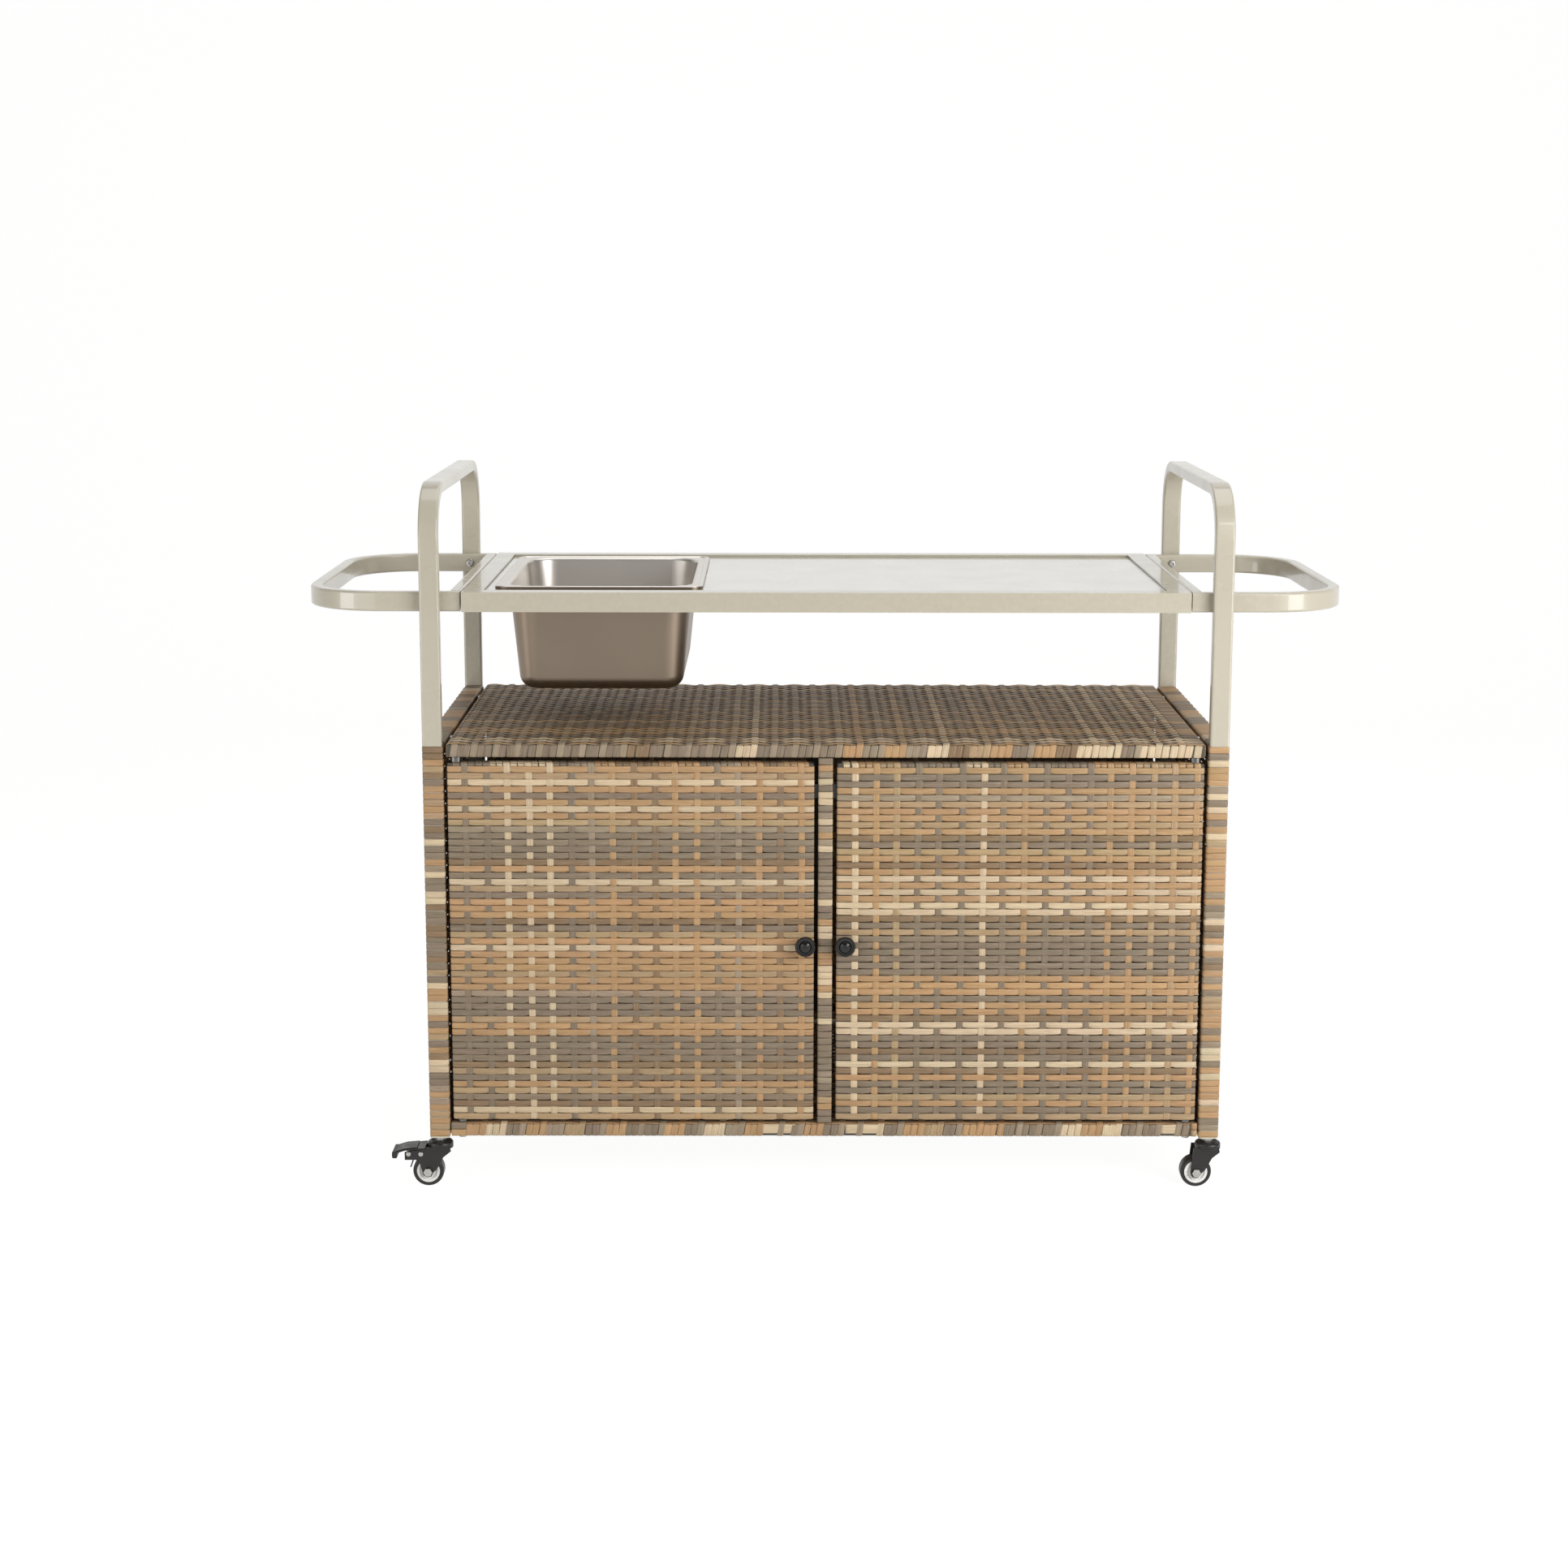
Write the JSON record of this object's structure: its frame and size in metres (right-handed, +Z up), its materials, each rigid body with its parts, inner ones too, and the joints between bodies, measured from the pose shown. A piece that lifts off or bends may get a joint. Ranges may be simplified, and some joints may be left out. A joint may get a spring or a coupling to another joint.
{
  "type": "outdoor bar cart",
  "caption": "Wicker-clad serving cart on swivel casters with hinged doors, tube hoops, loop handles and a worktop that holds a lift-out ice pan.",
  "frame": {"origin": "on the floor, at the centre of the cart's box", "axes": "+X to the right along the cart, +Y from the doors to the back, +Z up"},
  "size_m": [1.326, 0.5236, 0.9084],
  "materials": {
    "frame_paint": "satin",
    "panel_paint": "gloss",
    "inner_tube": "satin",
    "wicker": "satin",
    "pan_steel": "satin",
    "hardware": "satin",
    "knob_black": "satin",
    "catch_plastic": "satin",
    "plug_plastic": "satin",
    "caster_black": "satin",
    "wheel_core": "satin",
    "tyre": "matte"
  },
  "bodies": {
    "cart": {"left_hoop": "frame_paint", "right_hoop": "frame_paint", "left_side_rails": "inner_tube", "right_side_rails": "inner_tube", "left_side_weave": "wicker", "right_side_weave": "wicker", "cabinet_top_frame": "inner_tube", "cabinet_top_weave": "wicker", "cabinet_floor_frame": "inner_tube", "cabinet_floor_weave": "wicker", "back_panel_frame": "inner_tube", "back_panel_weave": "wicker", "back_panel_pads": "plug_plastic", "center_stile": "inner_tube", "center_stile_wrap": "wicker", "door_catch": "catch_plastic", "door_pins": "hardware", "door_washers": "hardware", "cabinet_bolts": "hardware", "table_frame": "frame_paint", "table_panel": "panel_paint", "left_handle": "frame_paint", "right_handle": "frame_paint", "handle_bolts": "hardware", "table_bolts": "hardware", "leg_plugs": "plug_plastic", "caster_stems": "hardware", "caster_cups": "caster_black"},
    "pan": {"ice_pan": "pan_steel"},
    "left_door": {"left_door_frame": "inner_tube", "left_door_weave": "wicker", "left_door_knob": "knob_black", "left_strike_plate": "hardware"},
    "right_door": {"right_door_frame": "inner_tube", "right_door_weave": "wicker", "right_door_knob": "knob_black", "right_strike_plate": "hardware"},
    "front_left_caster": {"front_left_fork": "caster_black", "front_left_axle": "hardware", "front_left_brake_rivets": "hardware"},
    "front_left_roller": {"front_left_wheel": "wheel_core", "front_left_tyre": "tyre"},
    "front_left_brake": {"front_left_brake_pedal": "caster_black"},
    "back_left_caster": {"back_left_fork": "caster_black", "back_left_axle": "hardware", "back_left_brake_rivets": "hardware"},
    "back_left_roller": {"back_left_wheel": "wheel_core", "back_left_tyre": "tyre"},
    "back_left_brake": {"back_left_brake_pedal": "caster_black"},
    "front_right_caster": {"front_right_fork": "caster_black", "front_right_axle": "hardware"},
    "front_right_roller": {"front_right_wheel": "wheel_core", "front_right_tyre": "tyre"},
    "back_right_caster": {"back_right_fork": "caster_black", "back_right_axle": "hardware"},
    "back_right_roller": {"back_right_wheel": "wheel_core", "back_right_tyre": "tyre"}
  },
  "joints": [
    {"name": "pan_lift", "type": "slide", "parent": "cart", "child": "pan", "axis": [0, 0, 1], "range_m": [0, 0.2]},
    {"name": "left_door_hinge", "type": "hinge", "parent": "cart", "child": "left_door", "pos_m": [-0.4681, -0.22995, 0.3234], "axis": [0, 0, -1], "range_deg": [0, 105]},
    {"name": "right_door_hinge", "type": "hinge", "parent": "cart", "child": "right_door", "pos_m": [0.4681, -0.22995, 0.3234], "axis": [0, 0, 1], "range_deg": [0, 105]},
    {"name": "front_left_swivel", "type": "hinge", "parent": "cart", "child": "front_left_caster", "pos_m": [-0.4975, -0.23105, 0.052], "axis": [0, 0, 1], "continuous": true},
    {"name": "front_left_roll", "type": "hinge", "parent": "front_left_caster", "child": "front_left_roller", "pos_m": [-0.5129, -0.23105, 0.02], "axis": [0, 1, 0], "continuous": true},
    {"name": "front_left_brake_press", "type": "hinge", "parent": "front_left_caster", "child": "front_left_brake", "pos_m": [-0.5219, -0.23105, 0.044], "axis": [0, -1, 0], "range_deg": [0, 6]},
    {"name": "back_left_swivel", "type": "hinge", "parent": "cart", "child": "back_left_caster", "pos_m": [-0.4975, 0.24395, 0.052], "axis": [0, 0, 1], "continuous": true},
    {"name": "back_left_roll", "type": "hinge", "parent": "back_left_caster", "child": "back_left_roller", "pos_m": [-0.5129, 0.24395, 0.02], "axis": [0, 1, 0], "continuous": true},
    {"name": "back_left_brake_press", "type": "hinge", "parent": "back_left_caster", "child": "back_left_brake", "pos_m": [-0.5219, 0.24395, 0.044], "axis": [0, -1, 0], "range_deg": [0, 6]},
    {"name": "front_right_swivel", "type": "hinge", "parent": "cart", "child": "front_right_caster", "pos_m": [0.4975, -0.23105, 0.052], "axis": [0, 0, 1], "continuous": true},
    {"name": "front_right_roll", "type": "hinge", "parent": "front_right_caster", "child": "front_right_roller", "pos_m": [0.4821, -0.23105, 0.02], "axis": [0, 1, 0], "continuous": true},
    {"name": "back_right_swivel", "type": "hinge", "parent": "cart", "child": "back_right_caster", "pos_m": [0.4975, 0.24395, 0.052], "axis": [0, 0, 1], "continuous": true},
    {"name": "back_right_roll", "type": "hinge", "parent": "back_right_caster", "child": "back_right_roller", "pos_m": [0.4821, 0.24395, 0.02], "axis": [0, 1, 0], "continuous": true}
  ]
}
